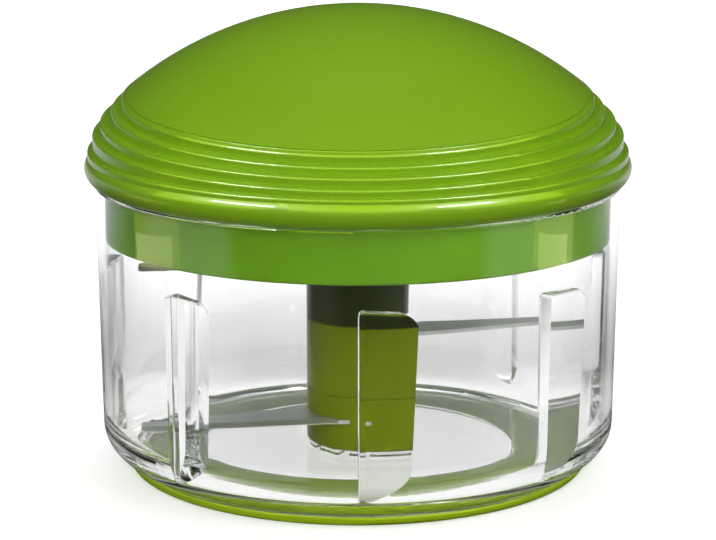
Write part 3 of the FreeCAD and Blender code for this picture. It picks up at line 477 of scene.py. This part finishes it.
def setWorld():
    # Plain soft grey as light, nearly dark in reflections, white behind the object. Seen through the bowl
    # it is white at the back and the sides, dimmer straight behind and dark in front.
    look = {
        "light": 0.26, "mirrored": 0.04, "seen": 1.0, "through": 0.88,
        "front": (-0.25, 0.1), "straight": (0.8, 0.92), "behind": 0.45, "reach": 0.6, "lean": 0.9,
    }
    world = bpy.data.worlds.new("studio")
    bpy.context.scene.world = world
    world.use_nodes = True
    tree = world.node_tree
    back = tree.nodes["Background"]
    back.inputs["Color"].default_value = (1, 1, 1, 1)
    path = tree.nodes.new("ShaderNodeLightPath")
    way = splitAxes(tree, tree.nodes.new("ShaderNodeTexCoord").outputs["Generated"])
    share = smoothShare(tree, way["Y"], *look["front"])
    straight = smoothShare(tree, way["Y"], *look["straight"])
    share = mathNode(tree, "MULTIPLY", share, rangeNode(tree, straight, 1.0, look["behind"]))
    light, dark = throughBowl(tree, path, share, way["X"], look)
    dim = mathNode(tree, "MAXIMUM", path.outputs["Is Glossy Ray"], dark)
    lit = rangeNode(tree, dim, look["light"], look["mirrored"])
    through = rangeNode(tree, light, lit, look["through"])
    strength = rangeNode(tree, path.outputs["Is Camera Ray"], through, look["seen"])
    tree.links.new(strength, back.inputs["Strength"])


def floorShare(tree, place, look):
    # Through the bowl the floor is bright below, beside and behind it, dimmer aslant behind, dark in front
    side = mathNode(tree, "SUBTRACT", mathNode(tree, "ABSOLUTE", place["X"]), look["side"])
    side = mathNode(tree, "MAXIMUM", side, 0.0)
    nearer = mathNode(tree, "ADD", place["Y"], mathNode(tree, "MULTIPLY", side, look["wing"]))
    farther = mathNode(tree, "SUBTRACT", place["Y"], mathNode(tree, "MULTIPLY", side, look["slope"]))
    aslant = mathNode(tree, "SUBTRACT", 1.0, smoothShare(tree, farther, *look["behind"]))
    aslant = mathNode(tree, "MULTIPLY", aslant, smoothShare(tree, place["Y"], *look["past"]))
    share = smoothShare(tree, nearer, *look["front"])
    return mathNode(tree, "MULTIPLY", share, rangeNode(tree, aslant, 1.0, look["aslant"]))


def floorLift(tree, where, place, look):
    # The lift adds what the light leaves missing to white, less of it near the lamps, so the shadow stays
    near = rangeNode(tree, smoothShare(tree, place["Y"], *look["near"]), *look["nearLift"])
    distance = tree.nodes.new("ShaderNodeVectorMath")
    distance.operation = "LENGTH"
    tree.links.new(where, distance.inputs[0])
    deep = rangeNode(tree, smoothShare(tree, distance.outputs["Value"], *look["deep"]), *look["deepLift"])
    return mathNode(tree, "ADD", near, deep)


def buildFloorWhite():
    # White to the camera, with the object's shadow, and darker in reflections. Places in metres.
    look = {
        "color": (0.765, 0.77, 0.82), "mirrored": (0.06, 0.06, 0.06), "roughness": 0.9,
        "dim": 0.7,  # how far its own light on the object goes down
        "near": (-0.07, 0.06), "nearLift": (0.33, 0.60), "deep": (0.1, 0.95), "deepLift": (0.0, 0.36),
        "far": (0.08, 0.3), "farLift": 0.3,  # in reflections
        "front": (-0.11, -0.06), "side": 0.065, "wing": 0.6, "slope": 1.5, "behind": (-0.02, 0.02),
        "past": (0.0, 0.08), "aslant": 0.15, "beyond": (0.05, 0.08), "beyondLight": 0.7,
        "reach": 0.08, "lean": 0.9,
    }
    mat, tree, shader = newMaterial("floorWhite")
    shader.inputs["Roughness"].default_value = look["roughness"]
    shader.inputs["Specular IOR Level"].default_value = 0.0
    shader.inputs["Emission Color"].default_value = (1, 1, 1, 1)
    path = tree.nodes.new("ShaderNodeLightPath")
    where = tree.nodes.new("ShaderNodeNewGeometry").outputs["Position"]
    place = splitAxes(tree, where)
    light, dark = throughBowl(tree, path, floorShare(tree, place, look), place["X"], look)
    beyond = smoothShare(tree, place["Y"], *look["beyond"])
    light = mathNode(tree, "MULTIPLY", light, rangeNode(tree, beyond, 1.0, look["beyondLight"]))
    # The far part stays pale in reflections, the near part goes dark
    glossy = path.outputs["Is Glossy Ray"]
    far = mathNode(tree, "MULTIPLY", glossy, smoothShare(tree, place["Y"], *look["far"]))
    near = mathNode(tree, "SUBTRACT", glossy, far)
    dim = mathNode(tree, "MULTIPLY", path.outputs["Is Diffuse Ray"], look["dim"])
    dim = mathNode(tree, "MAXIMUM", dim, mathNode(tree, "MAXIMUM", near, dark))
    mirror = tree.nodes.new("ShaderNodeMix")
    mirror.data_type = "RGBA"
    mirror.inputs["A"].default_value = look["color"] + (1,)
    mirror.inputs["B"].default_value = look["mirrored"] + (1,)
    tree.links.new(dim, mirror.inputs["Factor"])
    tree.links.new(mirror.outputs["Result"], shader.inputs["Base Color"])
    lift = mathNode(tree, "MULTIPLY", path.outputs["Is Camera Ray"], floorLift(tree, where, place, look))
    lift = mathNode(tree, "ADD", lift, light)
    lift = mathNode(tree, "ADD", lift, mathNode(tree, "MULTIPLY", far, look["farLift"]))
    tree.links.new(lift, shader.inputs["Emission Strength"])
    return mat


def setFloor():
    half = 3.0
    mesh = bpy.data.meshes.new("floor")
    corners = [(-half, -half, 0), (half, -half, 0), (half, half, 0), (-half, half, 0)]
    mesh.from_pydata(corners, [], [(0, 1, 2, 3)])
    mesh.materials.append(buildFloorWhite())
    floor = bpy.data.objects.new("floor", mesh)
    bpy.context.scene.collection.objects.link(floor)


def setBounces():
    # Light is reflected many times inside the clear walls
    bounces = {"all": 32, "glossy": 24, "transmission": 32}
    cycles = bpy.context.scene.cycles
    cycles.max_bounces = bounces["all"]
    cycles.glossy_bounces = bounces["glossy"]
    cycles.transmission_bounces = bounces["transmission"]


setCamera()
setLight()
setCards()
setWorld()
setFloor()
setBounces()
bpy.context.scene.view_settings.view_transform = "Standard"
print("camera, light and floor set")
